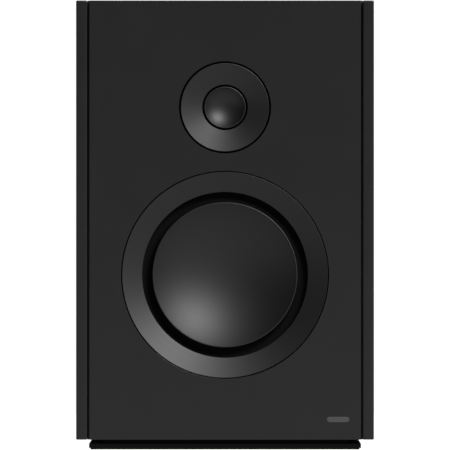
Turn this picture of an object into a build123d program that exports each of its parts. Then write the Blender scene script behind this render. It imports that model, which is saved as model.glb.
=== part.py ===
"""Passive two-way bookshelf speaker, millimetres, +Z up, front face towards -Y.

The origin is at the middle of the underside of the plinth mat. Depths are measured
from the front face of the cabinet, towards +Y.
"""

from math import cos, radians, sin, sqrt, tan
import os

from build123d import *

# ---------------------------------------------------------------- cabinet sizes
overall_width = 200.0
overall_depth = 235.0
cabinet_height = 294.9

side_panel = 7.5
side_gap = 1.2
baffle = 22.0
wall = 12.0
rear_board = 15.0
brace = 12.0
brace_depth = 88.0
edge_round = 0.6
joint_bevel = 0.4

mat = 1.0
mat_inset = 1.0
plinth_board = 2.9
plinth_inset = 2.6
plinth_neck = 2.7
plinth_neck_inset = 9.0

spacer_collar_r = 8.0
spacer_peg_r = 3.0
spacer_peg_in_panel = 4.5
spacer_peg_in_wall = 8.0
spacer_from_front = 45.0
spacer_from_rear = 45.0
spacer_from_ends = 45.0
gap_strip = 8.0
gap_strip_from_front = 6.0

# ---------------------------------------------------------------- woofer sizes
driver_gap = 12.1
ring_outer_r = 69.15
ring_inner_r = 55.65
ring_drop = 6.91
ring_gap = 0.5
ring_back = 8.5
ring_edge = 0.5
surround_thickness = 0.5
flange_inset = 3.15
flange_thickness = 4.0
flange_gap = 0.4
basket_mouth_gap = 0.95
basket_wall = 2.0
basket_hole_gap = 0.6
woofer_gasket_thickness = 0.8
woofer_screw_inset = 3.2
woofer_screw_count = 6
woofer_screw_r = 1.9
woofer_head_r = 3.2
woofer_head = 2.4
woofer_screw_length = 11.0
woofer_hex_r = 1.5

cone_rim_depth = 5.5
cone_outer_r = 48.75
cone_rim_width = 1.0
cone_rim_rise = 0.45
cone_lip = 2.2
dish_radius = 77.0
dish_thickness = 0.8
former_r = 16.0
former_wall = 0.3
winding = 1.0
winding_length = 14.0
coil_clearance = 0.4

spider_depth = 38.0
spider_thickness = 0.4
spider_waves = 6
spider_wave_height = 1.1
spider_seat_r = 41.0
spider_outer_r = 45.5
spider_lip = 2.0
basket_floor = 50.0
magnet_seat_r = 44.0

woofer_top_plate_r = 41.0
woofer_top_plate_thickness = 6.0
woofer_magnet_r = 45.0
woofer_magnet_hole_r = 25.0
woofer_magnet_thickness = 16.0
woofer_back_plate_r = 42.0
woofer_back_plate_thickness = 6.0

# ---------------------------------------------------------------- tweeter sizes
plate_r = 29.7
plate_gap = 1.05
plate_thickness = 7.0
plate_drop = 4.3
plate_edge = 0.4
throat_r = 15.25
tweeter_hole_r = 24.5
tweeter_screw_circle_r = 27.6
tweeter_screw_count = 4
tweeter_screw_r = 1.5
tweeter_head_r = 2.7
tweeter_head = 2.0
tweeter_head_clear = 0.3
tweeter_screw_in_plate = 4.0
tweeter_ledge = 7.0

dome_rim_depth = 3.9
dome_outer_r = 13.95
dome_rim_width = 0.85
dome_rim_rise = 0.35
dome_radius = 18.5
dome_thickness = 0.35
dome_skirt_wall = 0.5
tweeter_surround_depth = 8.0
tweeter_surround_thickness = 0.3
tweeter_surround_r = 17.5
tweeter_former_r = 12.6
tweeter_winding = 0.5
tweeter_coil_back = 14.5
tweeter_top_plate_front = 10.4
tweeter_plate_steel = 3.0
tweeter_magnet_r = 22.5
tweeter_magnet_hole_r = 16.5
tweeter_magnet_thickness = 9.0
tweeter_coil_clearance = 0.35
tweeter_seat = 0.4

# ---------------------------------------------------------------- rear sizes
port_from_top = 69.8
port_r = 21.0
port_wall = 2.5
port_length = 110.0
port_flare = 16.0
port_flange_r = 42.0
port_flange = 3.0
port_neck = 9.0
port_shoulder = 7.5
port_edge = 0.6
rear_fit = 0.3

cup_height = 55.1
cup_width = 84.0
cup_tall = 46.0
cup_depth = 34.0
cup_corner = 8.0
cup_wall = 2.5
cup_flange_width = 108.0
cup_flange_tall = 70.0
cup_flange = 3.0
cup_flange_corner = 6.0
cup_screw_r = 1.75
cup_head_r = 3.3
cup_screw_length = 12.5
cup_screw_inset = 6.0
cross_long = 3.6
cross_wide = 0.8
cross_deep = 1.2

post_spacing = 38.0
post_stem_r = 4.0
post_stem = 18.0
post_bore_r = 2.0
post_bore = 14.0
post_collar_r = 6.5
post_collar = 3.0
post_stud_r = 3.0
post_stud = 16.0
wire_hole_r = 1.5
wire_hole_from_collar = 1.8
insulator_r = 8.0
insulator_flange = 2.0
insulator_neck_r = 5.0
inner_washer_r = 7.0
inner_washer = 1.5
tag = 0.8
tag_length = 12.0
tag_ring = 2.2
tag_width = 3.2
nut_flats = 10.0
nut = 3.2
screw_fit = 0.06
seat_gap = 0.05
clamp_washer_r = 6.4
clamp_washer = 1.0
knob_r = 7.2
knob_length = 18.9
knob_flutes = 10
flute_r = 1.3
knob_edge = 0.8
knob_plain_front = 3.0

# ---------------------------------------------------------------- inside sizes
board_width = 118.0
board_long = 84.0
board_thickness = 1.6
board_from_front = 108.0
standoff = 8.0
standoff_r = 3.5
board_screw_r = 1.5
board_head_r = 2.8
board_head = 2.0
board_screw_inset = 5.0
board_screw_in_panel = 7.0
bass_coil_r = 25.0
bass_coil_core_r = 9.0
bass_coil_height = 24.0
bobbin = 1.5
bass_coil_lip = 1.5
treble_coil_lip = 1.2
treble_coil_r = 14.0
treble_coil_core_r = 5.0
treble_coil_length = 18.0
capacitor_r = 8.0
capacitor_length = 34.0
capacitor_edge = 1.0
resistor_long = 24.0
resistor_side = 9.0
pad_thickness = 14.0
pad_clear = 0.5
pad_from_top = 8.0
pad_from_floor = 27.8
pad_corner = 6.0
wire_r = 1.1
badge_width = 15.0
badge_tall = 3.6
badge_depth = 0.6
badge_x = 76.0
badge_height = 13.6

# ---------------------------------------------------------------- what follows from them
front_y = -overall_depth / 2
rear_y = overall_depth / 2
cabinet_z = mat + plinth_board + plinth_neck
cabinet_top = cabinet_z + cabinet_height
cabinet_mid_z = cabinet_z + cabinet_height / 2
core_width = overall_width - 2 * (side_panel + side_gap)
inner_width = core_width - 2 * wall
inner_height = cabinet_height - 2 * wall
inner_depth = overall_depth - baffle - rear_board
inner_mid_y = front_y + baffle + inner_depth / 2
floor_z = cabinet_z + wall

# Both drivers stand in the middle of the front, one gap apart.
ring_recess_r = ring_outer_r + ring_gap
plate_recess_r = plate_r + plate_gap
drivers_tall = 2 * ring_recess_r + driver_gap + 2 * plate_recess_r
woofer_z = cabinet_mid_z - drivers_tall / 2 + ring_recess_r
tweeter_z = woofer_z + ring_recess_r + driver_gap + plate_recess_r
port_z = cabinet_top - port_from_top
cup_z = cabinet_z + cup_height

flange_r = ring_outer_r - flange_inset
flange_front = ring_back + surround_thickness
flange_back = flange_front + flange_thickness
flange_recess_r = flange_r + flange_gap
woofer_rebate = flange_back + woofer_gasket_thickness
woofer_screw_circle_r = flange_r - woofer_screw_inset
basket_mouth_r = ring_inner_r + basket_mouth_gap
woofer_hole_r = basket_mouth_r + basket_wall + basket_hole_gap

export_list = []


def depth_plane(depth):
    """An upright plane that faces the front, at a depth behind the front face."""
    return Plane(origin=(0, front_y + depth, 0), x_dir=(1, 0, 0), z_dir=(0, -1, 0))


def section_plane(height):
    """A level half-plane through a driver's axis: x is the radius, y the depth."""
    return Plane(origin=(0, front_y, height), x_dir=(1, 0, 0), z_dir=(0, 0, 1))


def driver_axis(height, x=0.0):
    """The front-to-back axis of a round piece."""
    return Axis((x, front_y, height), (0, 1, 0))


def keep(shape, name):
    """Labels a finished piece and puts it on the list of parts to write."""
    shape.label = name
    export_list.append(shape)


def turned(name, height, points):
    """A round piece turned from one straight-sided section of (radius, depth) points."""
    with BuildPart() as piece:
        with BuildSketch(section_plane(height)):
            with BuildLine():
                Polyline(*points, close=True)
            make_face()
        revolve(axis=driver_axis(height))
    keep(piece.part, name)
    return piece.part


# ================================================================ cabinet

with BuildPart() as front_baffle:
    with BuildSketch(depth_plane(0)):
        with Locations((0, cabinet_mid_z)):
            Rectangle(core_width, cabinet_height)
    extrude(amount=-baffle)
    chamfer(front_baffle.faces().sort_by(Axis.Y)[0].edges(), joint_bevel)
    with BuildSketch(depth_plane(0)):
        with Locations((0, woofer_z)):
            Circle(ring_recess_r)
    extrude(amount=-ring_back, mode=Mode.SUBTRACT)
    with BuildSketch(depth_plane(0)):
        with Locations((0, woofer_z)):
            Circle(flange_recess_r)
    extrude(amount=-woofer_rebate, mode=Mode.SUBTRACT)
    with BuildSketch(depth_plane(0)):
        with Locations((0, woofer_z)):
            Circle(woofer_hole_r)
        with Locations((0, tweeter_z)):
            Circle(tweeter_hole_r)
    extrude(amount=-baffle, mode=Mode.SUBTRACT)
    with BuildSketch(depth_plane(0)):
        with Locations((0, tweeter_z)):
            Circle(plate_recess_r)
    extrude(amount=-plate_thickness, mode=Mode.SUBTRACT)
    with BuildSketch(depth_plane(woofer_rebate)):
        with Locations((0, woofer_z)):
            with PolarLocations(woofer_screw_circle_r, woofer_screw_count, 30):
                Circle(woofer_screw_r)
    screw_in_baffle = woofer_screw_length - flange_thickness - woofer_gasket_thickness
    extrude(amount=-screw_in_baffle, mode=Mode.SUBTRACT)
    with BuildSketch(depth_plane(plate_thickness)):
        with Locations((0, tweeter_z)):
            with PolarLocations(tweeter_screw_circle_r, tweeter_screw_count, 45):
                Circle(tweeter_screw_r)
    extrude(amount=-tweeter_ledge, mode=Mode.SUBTRACT)
    with BuildSketch(depth_plane(plate_thickness + tweeter_ledge)):
        with Locations((0, tweeter_z)):
            with PolarLocations(tweeter_screw_circle_r, tweeter_screw_count, 45):
                Circle(tweeter_head_r + tweeter_head_clear)
    extrude(amount=-(baffle - plate_thickness - tweeter_ledge), mode=Mode.SUBTRACT)
    with BuildSketch(depth_plane(0)):
        with Locations((badge_x, cabinet_z + badge_height)):
            SlotOverall(badge_width, badge_tall)
    extrude(amount=-badge_depth, mode=Mode.SUBTRACT)
keep(front_baffle.part, "front_baffle")

with BuildPart() as badge_bar:
    with BuildSketch(depth_plane(0)):
        with Locations((badge_x, cabinet_z + badge_height)):
            SlotOverall(badge_width, badge_tall)
    extrude(amount=-badge_depth)
keep(badge_bar.part, "badge_bar")

with BuildPart() as top_panel:
    with BuildSketch(Plane.XY.offset(cabinet_top - wall)):
        with Locations((0, inner_mid_y)):
            Rectangle(core_width, inner_depth)
    extrude(amount=wall)
keep(top_panel.part, "top_panel")

plinth_screw_places = [(x * 70.0, y * 85.0) for x in (-1, 1) for y in (-1, 1)]
plinth_screw_r = 2.0
plinth_head_r = 3.9
plinth_screw_in_panel = 9.0
board_mid = (0, front_y + board_from_front + board_long / 2)
board_screw_x = board_width - 2 * board_screw_inset
board_screw_y = board_long - 2 * board_screw_inset

with BuildPart() as bottom_panel:
    with BuildSketch(Plane.XY.offset(cabinet_z)):
        with Locations((0, inner_mid_y)):
            Rectangle(core_width, inner_depth)
    extrude(amount=wall)
    with BuildSketch(Plane.XY.offset(cabinet_z)):
        with Locations(*plinth_screw_places):
            Circle(plinth_screw_r)
    extrude(amount=plinth_screw_in_panel, mode=Mode.SUBTRACT)
    with BuildSketch(Plane.XY.offset(floor_z)):
        with Locations(board_mid):
            with GridLocations(board_screw_x, board_screw_y, 2, 2):
                Circle(board_screw_r)
    extrude(amount=-board_screw_in_panel, mode=Mode.SUBTRACT)
keep(bottom_panel.part, "bottom_panel")

with BuildPart() as rear_panel:
    with BuildSketch(depth_plane(overall_depth - rear_board)):
        with Locations((0, cabinet_mid_z)):
            Rectangle(core_width, cabinet_height)
    extrude(amount=-rear_board)
    chamfer(rear_panel.faces().sort_by(Axis.Y)[-1].edges(), joint_bevel)
    with BuildSketch(depth_plane(overall_depth)):
        with Locations((0, port_z)):
            Circle(port_flange_r + rear_fit)
    extrude(amount=port_flange, mode=Mode.SUBTRACT)
    with BuildSketch(depth_plane(overall_depth)):
        with Locations((0, cup_z)):
            RectangleRounded(cup_flange_width + 2 * rear_fit, cup_flange_tall + 2 * rear_fit, cup_flange_corner + rear_fit)
    extrude(amount=cup_flange, mode=Mode.SUBTRACT)
    with BuildSketch(depth_plane(overall_depth)):
        with Locations((0, port_z)):
            Circle(port_r + port_wall + port_shoulder + rear_fit)
        with Locations((0, cup_z)):
            bowl_hole = 2 * (cup_wall + rear_fit)
            RectangleRounded(cup_width + bowl_hole, cup_tall + bowl_hole, cup_corner + bowl_hole / 2)
    extrude(amount=rear_board, mode=Mode.SUBTRACT)
    with BuildSketch(depth_plane(overall_depth - cup_flange)):
        with Locations((0, cup_z)):
            with GridLocations(
                cup_flange_width - 2 * cup_screw_inset, cup_flange_tall - 2 * cup_screw_inset, 2, 2
            ):
                Circle(cup_screw_r)
    extrude(amount=cup_screw_length - cup_flange, mode=Mode.SUBTRACT)
keep(rear_panel.part, "rear_panel")


def spacer_points():
    """The (y, z) places of the spacers on each side of the cabinet."""
    ys = (front_y + spacer_from_front, rear_y - spacer_from_rear)
    zs = (cabinet_z + spacer_from_ends, cabinet_top - spacer_from_ends)
    return [(y, z) for y in ys for z in zs]


def side_wall(side, name):
    """An inner side wall of the box, with holes for the spacer pegs."""
    outer_face = Plane(origin=(side * core_width / 2, 0, 0), x_dir=(0, 1, 0), z_dir=(1, 0, 0))
    with BuildPart() as board:
        with BuildSketch(outer_face):
            with Locations((inner_mid_y, cabinet_mid_z)):
                Rectangle(inner_depth, inner_height)
        extrude(amount=-side * wall)
        with BuildSketch(outer_face):
            with Locations(*spacer_points()):
                Circle(spacer_peg_r)
        extrude(amount=-side * spacer_peg_in_wall, mode=Mode.SUBTRACT)
    keep(board.part, name)


def side_cladding(side, name):
    """An outer side panel, with rounded outer edges and holes for the spacer pegs."""
    inner_face = Plane(
        origin=(side * (core_width / 2 + side_gap), 0, 0), x_dir=(0, 1, 0), z_dir=(1, 0, 0)
    )
    with BuildPart() as board:
        with BuildSketch(inner_face):
            with Locations((0, cabinet_mid_z)):
                Rectangle(overall_depth, cabinet_height)
        extrude(amount=side * side_panel)
        chamfer(board.edges(), edge_round)
        with BuildSketch(inner_face):
            with Locations(*spacer_points()):
                Circle(spacer_peg_r)
        extrude(amount=side * spacer_peg_in_panel, mode=Mode.SUBTRACT)
    keep(board.part, name)


side_wall(-1, "left_wall")
side_wall(1, "right_wall")
side_cladding(-1, "left_side_panel")
side_cladding(1, "right_side_panel")

# Pegged collars hold each side panel off its wall, and a strip closes the gap near the front.
with BuildPart() as side_panel_spacers:
    for side in (-1, 1):
        wall_face = Plane(origin=(side * core_width / 2, 0, 0), x_dir=(0, 1, 0), z_dir=(1, 0, 0))
        with BuildSketch(wall_face):
            with Locations(*spacer_points()):
                Circle(spacer_collar_r)
        extrude(amount=side * side_gap)
        with BuildSketch(wall_face):
            with Locations(*spacer_points()):
                Circle(spacer_peg_r)
        extrude(amount=side * (side_gap + spacer_peg_in_panel))
        with BuildSketch(wall_face):
            with Locations(*spacer_points()):
                Circle(spacer_peg_r)
        extrude(amount=-side * spacer_peg_in_wall)
        with BuildSketch(wall_face):
            with Locations((front_y + gap_strip_from_front + gap_strip / 2, cabinet_mid_z)):
                Rectangle(gap_strip, cabinet_height)
        extrude(amount=side * side_gap)
keep(side_panel_spacers.part, "side_panel_spacers")

window_side_bar = 20.3
window_end_bar = 21.9
window_middle_bar = 20.0
window_corner = 18.0
window_width = inner_width - 2 * window_side_bar
window_tall = (inner_height - window_middle_bar) / 2 - window_end_bar

with BuildPart() as window_brace:
    with BuildSketch(depth_plane(brace_depth)):
        with Locations((0, cabinet_mid_z)):
            Rectangle(inner_width, inner_height)
            with GridLocations(0, window_tall + window_middle_bar, 1, 2):
                RectangleRounded(window_width, window_tall, window_corner, mode=Mode.SUBTRACT)
    extrude(amount=-brace)
keep(window_brace.part, "window_brace")

with BuildPart() as plinth:
    with BuildSketch(Plane.XY.offset(mat)):
        Rectangle(core_width, overall_depth - 2 * plinth_inset)
    extrude(amount=plinth_board)
    with BuildSketch(Plane.XY.offset(mat + plinth_board)):
        Rectangle(core_width - 2 * plinth_neck_inset, overall_depth - 2 * plinth_neck_inset)
    extrude(amount=plinth_neck)
    with BuildSketch(Plane.XY.offset(mat)):
        with Locations(*plinth_screw_places):
            Circle(plinth_screw_r)
    extrude(amount=plinth_board + plinth_neck, mode=Mode.SUBTRACT)
    with BuildSketch(Plane.XY.offset(mat)):
        with Locations(*plinth_screw_places):
            Circle(plinth_head_r)
    extrude(amount=plinth_head_r - plinth_screw_r, taper=45, mode=Mode.SUBTRACT)
keep(plinth.part, "plinth")

with BuildPart() as plinth_screws:
    with BuildSketch(Plane.XY.offset(mat)):
        with Locations(*plinth_screw_places):
            Circle(plinth_screw_r)
    extrude(amount=plinth_board + plinth_neck + plinth_screw_in_panel)
    with BuildSketch(Plane.XY.offset(mat)):
        with Locations(*plinth_screw_places):
            Circle(plinth_head_r)
    extrude(amount=plinth_head_r - plinth_screw_r, taper=45)
keep(plinth_screws.part, "plinth_screws")

with BuildPart() as plinth_mat:
    with BuildSketch(Plane.XY):
        Rectangle(core_width - 2 * mat_inset, overall_depth - 2 * (plinth_inset + mat_inset))
    extrude(amount=mat)
keep(plinth_mat.part, "plinth_mat")

# ================================================================ woofer, fixed pieces

ring_head_clear = 0.5

with BuildPart() as woofer_trim_ring:
    with BuildSketch(section_plane(woofer_z)):
        with BuildLine():
            Polyline(
                (ring_outer_r, ring_edge),
                (ring_outer_r - ring_edge, 0),
                (ring_inner_r, ring_drop),
                (ring_inner_r, ring_back),
                (ring_outer_r, ring_back),
                close=True,
            )
        make_face()
    revolve(axis=driver_axis(woofer_z))
    with BuildSketch(depth_plane(ring_back)):
        with Locations((0, woofer_z)):
            with PolarLocations(woofer_screw_circle_r, woofer_screw_count, 30):
                Circle(woofer_head_r + ring_head_clear)
    extrude(amount=woofer_head - surround_thickness + ring_head_clear, mode=Mode.SUBTRACT)
keep(woofer_trim_ring.part, "woofer_trim_ring")

# Conical spokes join the flange to the spider seat, and a floor carries the magnet.
spoke_foot = spider_depth - 0.4
seat_front = spider_depth + spider_thickness
seat_outer_r = spider_outer_r + basket_wall + 1.1
seat_back = seat_front + 3.0
floor_thickness = 3.0
floor_hole_r = 24.0
half_window = radians(18.0)
window_inner_r = magnet_seat_r

with BuildPart() as woofer_basket:
    with BuildSketch(section_plane(woofer_z)):
        with BuildLine():
            Polyline(
                (basket_mouth_r, flange_front),
                (flange_r, flange_front),
                (flange_r, flange_back),
                (basket_mouth_r + basket_wall, flange_back),
                (basket_mouth_r + basket_wall, flange_back + 3.0),
                (seat_outer_r, spoke_foot),
                (seat_outer_r, seat_back),
                (magnet_seat_r, seat_back),
                (magnet_seat_r, basket_floor),
                (floor_hole_r, basket_floor),
                (floor_hole_r, basket_floor - floor_thickness),
                (spider_seat_r, basket_floor - floor_thickness),
                (spider_seat_r, seat_front),
                (seat_outer_r - basket_wall - 0.6, seat_front),
                (basket_mouth_r, flange_back + 2.5),
                close=True,
            )
        make_face()
    revolve(axis=driver_axis(woofer_z))
    with BuildSketch(depth_plane(flange_back + 4.0)):
        with Locations((0, woofer_z)):
            with PolarLocations(0, woofer_screw_count):
                Polygon(
                    (window_inner_r * cos(half_window), -window_inner_r * sin(half_window)),
                    (flange_r * cos(half_window), -flange_r * sin(half_window)),
                    (flange_r * cos(half_window), flange_r * sin(half_window)),
                    (window_inner_r * cos(half_window), window_inner_r * sin(half_window)),
                    align=None,
                )
    extrude(amount=-(spoke_foot - flange_back - 6.0), mode=Mode.SUBTRACT)
    with BuildSketch(depth_plane(flange_front)):
        with Locations((0, woofer_z)):
            with PolarLocations(woofer_screw_circle_r, woofer_screw_count, 30):
                Circle(woofer_screw_r)
    extrude(amount=-flange_thickness, mode=Mode.SUBTRACT)
keep(woofer_basket.part, "woofer_basket")

with BuildPart() as woofer_gasket:
    with BuildSketch(depth_plane(flange_back)):
        with Locations((0, woofer_z)):
            Circle(flange_r)
            Circle(woofer_hole_r, mode=Mode.SUBTRACT)
            with PolarLocations(woofer_screw_circle_r, woofer_screw_count, 30):
                Circle(woofer_screw_r, mode=Mode.SUBTRACT)
    extrude(amount=-woofer_gasket_thickness)
keep(woofer_gasket.part, "woofer_gasket")

with BuildPart() as woofer_screws:
    with BuildSketch(depth_plane(flange_front)):
        with Locations((0, woofer_z)):
            with PolarLocations(woofer_screw_circle_r, woofer_screw_count, 30):
                Circle(woofer_screw_r)
    extrude(amount=-woofer_screw_length)
    with BuildSketch(depth_plane(flange_front)):
        with Locations((0, woofer_z)):
            with PolarLocations(woofer_screw_circle_r, woofer_screw_count, 30):
                Circle(woofer_head_r)
                RegularPolygon(woofer_hex_r, 6, mode=Mode.SUBTRACT)
    extrude(amount=woofer_head)
keep(woofer_screws.part, "woofer_screws")

coil_outer_r = former_r + former_wall + winding
top_plate_back = basket_floor + woofer_top_plate_thickness
magnet_back = top_plate_back + woofer_magnet_thickness
back_plate_back = magnet_back + woofer_back_plate_thickness
pole_r = former_r - coil_clearance
plate_bevel = 1.0

turned(
    "woofer_top_plate",
    woofer_z,
    [
        (coil_outer_r + coil_clearance, basket_floor),
        (woofer_top_plate_r, basket_floor),
        (woofer_top_plate_r, top_plate_back),
        (coil_outer_r + coil_clearance, top_plate_back),
    ],
)
turned(
    "woofer_magnet",
    woofer_z,
    [
        (woofer_magnet_hole_r, top_plate_back),
        (woofer_magnet_r - plate_bevel, top_plate_back),
        (woofer_magnet_r, top_plate_back + plate_bevel),
        (woofer_magnet_r, magnet_back - plate_bevel),
        (woofer_magnet_r - plate_bevel, magnet_back),
        (woofer_magnet_hole_r, magnet_back),
    ],
)
turned(
    "woofer_back_plate",
    woofer_z,
    [
        (0, basket_floor),
        (pole_r, basket_floor),
        (pole_r, magnet_back),
        (woofer_back_plate_r, magnet_back),
        (woofer_back_plate_r, back_plate_back - plate_bevel),
        (woofer_back_plate_r - plate_bevel, back_plate_back),
        (0, back_plate_back),
    ],
)

strip_width = 18.0
strip_thickness = 1.6
strip_out = 58.0
tab_width = 4.8
tab_thickness = 0.8
tab_out = 65.0
tab_pitch = 10.0
tab_from = 50.0

with BuildPart() as woofer_terminals:
    with BuildSketch(depth_plane(seat_back)):
        with Locations(((magnet_seat_r + 0.5 + strip_out) / 2, woofer_z)):
            Rectangle(strip_out - magnet_seat_r - 0.5, strip_width)
    extrude(amount=-strip_thickness)
    with BuildSketch(depth_plane(seat_back + strip_thickness)):
        for step in (-0.5, 0.5):
            with Locations(((tab_from + tab_out) / 2, woofer_z + step * tab_pitch)):
                Rectangle(tab_out - tab_from, tab_width)
    extrude(amount=-tab_thickness)
keep(woofer_terminals.part, "woofer_terminals")

# ================================================================ woofer, soft pieces

# An inverted half roll joins the cone's lip to the flange.
roll_outer_r = basket_mouth_r - 0.5
roll_inner_r = cone_outer_r + 0.4
roll_mid_r = (roll_outer_r + roll_inner_r) / 2
roll_r = (roll_outer_r - roll_inner_r) / 2
surround_outer_r = 60.0
lip_front = ring_back
lip_back = ring_back + surround_thickness
lip_inner_r = cone_outer_r - cone_lip

with BuildPart() as woofer_surround:
    with BuildSketch(section_plane(woofer_z)):
        with BuildLine():
            Line((lip_inner_r, lip_front), (roll_inner_r, lip_front))
            ThreePointArc(
                (roll_inner_r, lip_front), (roll_mid_r, lip_front + roll_r), (roll_outer_r, lip_front)
            )
            Line((roll_outer_r, lip_front), (surround_outer_r - 0.5, lip_front))
            Line((surround_outer_r - 0.5, lip_front), (surround_outer_r - 0.5, lip_back))
            Line((surround_outer_r - 0.5, lip_back), (roll_outer_r + 0.35, lip_back))
            ThreePointArc(
                (roll_outer_r + 0.35, lip_back),
                (roll_mid_r, lip_back + roll_r),
                (roll_inner_r - 0.35, lip_back),
            )
            Line((roll_inner_r - 0.35, lip_back), (lip_inner_r, lip_back))
            Line((lip_inner_r, lip_back), (lip_inner_r, lip_front))
        make_face()
    revolve(axis=driver_axis(woofer_z))
keep(woofer_surround.part, "woofer_surround")

spider_inner_r = former_r + former_wall + 0.1
spider_wave_pitch = (spider_seat_r - spider_lip - spider_inner_r) / spider_waves


def wave_edge(depth, reverse=False):
    """The corrugated edge of the spider's section, a row of arcs that swing both ways."""
    radii = [spider_inner_r + k * spider_wave_pitch for k in range(spider_waves + 1)]
    pieces = list(enumerate(zip(radii[:-1], radii[1:])))
    for k, (a, b) in reversed(pieces) if reverse else pieces:
        swing = spider_wave_height if k % 2 else -spider_wave_height
        ends = [(a, depth), (b, depth)]
        if reverse:
            ends.reverse()
        ThreePointArc(ends[0], ((a + b) / 2, depth + swing), ends[1])


with BuildPart() as woofer_spider:
    with BuildSketch(section_plane(woofer_z)):
        with BuildLine():
            wave_edge(spider_depth)
            Polyline(
                (spider_seat_r - spider_lip, spider_depth),
                (spider_outer_r - 0.5, spider_depth),
                (spider_outer_r - 0.5, spider_depth + spider_thickness),
                (spider_seat_r - spider_lip, spider_depth + spider_thickness),
            )
            wave_edge(spider_depth + spider_thickness, reverse=True)
            Line((spider_inner_r, spider_depth + spider_thickness), (spider_inner_r, spider_depth))
        make_face()
    revolve(axis=driver_axis(woofer_z))
keep(woofer_spider.part, "woofer_spider")

# ================================================================ woofer, moving pieces

dish_edge_r = cone_outer_r - cone_rim_width
dish_edge_depth = cone_rim_depth + cone_rim_rise
dish_centre = dish_edge_depth - sqrt(dish_radius**2 - dish_edge_r**2)


def dish_depth(radius, extra=0.0):
    """How deep the dish lies at a radius, with extra for its back surface."""
    return dish_centre + sqrt((dish_radius + extra) ** 2 - radius**2)


with BuildPart() as woofer_cone:
    with BuildSketch(section_plane(woofer_z)):
        with BuildLine():
            ThreePointArc(
                (0, dish_depth(0)),
                (dish_edge_r / 2, dish_depth(dish_edge_r / 2)),
                (dish_edge_r, dish_edge_depth),
            )
            ThreePointArc(
                (dish_edge_r, dish_edge_depth),
                (cone_outer_r - cone_rim_width * 0.45, cone_rim_depth),
                (cone_outer_r, cone_rim_depth + cone_rim_rise),
            )
            Polyline(
                (cone_outer_r, cone_rim_depth + cone_rim_rise),
                (cone_outer_r, lip_front),
                (lip_inner_r, lip_front),
                (lip_inner_r, dish_depth(lip_inner_r, dish_thickness)),
            )
            ThreePointArc(
                (lip_inner_r, dish_depth(lip_inner_r, dish_thickness)),
                (lip_inner_r / 2, dish_depth(lip_inner_r / 2, dish_thickness)),
                (0, dish_depth(0, dish_thickness)),
            )
            Line((0, dish_depth(0, dish_thickness)), (0, dish_depth(0)))
        make_face()
    revolve(axis=driver_axis(woofer_z))
keep(woofer_cone.part, "woofer_cone")

gap_middle = basket_floor + woofer_top_plate_thickness / 2
winding_front = gap_middle - winding_length / 2
winding_back = gap_middle + winding_length / 2
former_front = dish_depth(former_r + former_wall, dish_thickness) + 0.15

with BuildPart() as woofer_voice_coil:
    with BuildSketch(section_plane(woofer_z)):
        with BuildLine():
            Polyline(
                (former_r, former_front),
                (former_r + former_wall, former_front),
                (former_r + former_wall, winding_front),
                (coil_outer_r, winding_front),
                (coil_outer_r, winding_back),
                (former_r, winding_back),
                close=True,
            )
        make_face()
    revolve(axis=driver_axis(woofer_z))
keep(woofer_voice_coil.part, "woofer_voice_coil")

# ================================================================ tweeter

with BuildPart() as tweeter_faceplate:
    with BuildSketch(section_plane(tweeter_z)):
        with BuildLine():
            Polyline(
                (plate_r, plate_edge),
                (plate_r - plate_edge, 0),
                (throat_r, plate_drop),
                (throat_r, plate_thickness),
                (plate_r, plate_thickness),
                close=True,
            )
        make_face()
    revolve(axis=driver_axis(tweeter_z))
    with BuildSketch(depth_plane(plate_thickness)):
        with Locations((0, tweeter_z)):
            with PolarLocations(tweeter_screw_circle_r, tweeter_screw_count, 45):
                Circle(tweeter_screw_r)
    extrude(amount=tweeter_screw_in_plate, mode=Mode.SUBTRACT)
keep(tweeter_faceplate.part, "tweeter_faceplate")

with BuildPart() as tweeter_screws:
    with BuildSketch(depth_plane(plate_thickness - tweeter_screw_in_plate)):
        with Locations((0, tweeter_z)):
            with PolarLocations(tweeter_screw_circle_r, tweeter_screw_count, 45):
                Circle(tweeter_screw_r)
    extrude(amount=-(tweeter_screw_in_plate + tweeter_ledge))
    with BuildSketch(depth_plane(plate_thickness + tweeter_ledge)):
        with Locations((0, tweeter_z)):
            with PolarLocations(tweeter_screw_circle_r, tweeter_screw_count, 45):
                Circle(tweeter_head_r)
    extrude(amount=-tweeter_head)
keep(tweeter_screws.part, "tweeter_screws")

dome_edge_r = dome_outer_r - dome_rim_width
dome_edge_depth = dome_rim_depth + dome_rim_rise
dome_centre = dome_edge_depth - sqrt(dome_radius**2 - dome_edge_r**2)
dome_skirt_r = dome_outer_r - dome_skirt_wall


def dome_depth(radius, extra=0.0):
    """How deep the inverted dome lies at a radius, with extra for its back surface."""
    return dome_centre + sqrt((dome_radius + extra) ** 2 - radius**2)


coil_shelf_r = tweeter_former_r - 0.4

with BuildPart() as tweeter_dome:
    with BuildSketch(section_plane(tweeter_z)):
        with BuildLine():
            ThreePointArc(
                (0, dome_depth(0)),
                (dome_edge_r / 2, dome_depth(dome_edge_r / 2)),
                (dome_edge_r, dome_edge_depth),
            )
            ThreePointArc(
                (dome_edge_r, dome_edge_depth),
                (dome_outer_r - dome_rim_width * 0.45, dome_rim_depth),
                (dome_outer_r, dome_rim_depth + dome_rim_rise),
            )
            Polyline(
                (dome_outer_r, dome_rim_depth + dome_rim_rise),
                (dome_outer_r, tweeter_surround_depth),
                (coil_shelf_r, tweeter_surround_depth),
                (coil_shelf_r, dome_depth(coil_shelf_r, dome_thickness)),
            )
            ThreePointArc(
                (coil_shelf_r, dome_depth(coil_shelf_r, dome_thickness)),
                (coil_shelf_r / 2, dome_depth(coil_shelf_r / 2, dome_thickness)),
                (0, dome_depth(0, dome_thickness)),
            )
            Line((0, dome_depth(0, dome_thickness)), (0, dome_depth(0)))
        make_face()
    revolve(axis=driver_axis(tweeter_z))
keep(tweeter_dome.part, "tweeter_dome")

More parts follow.
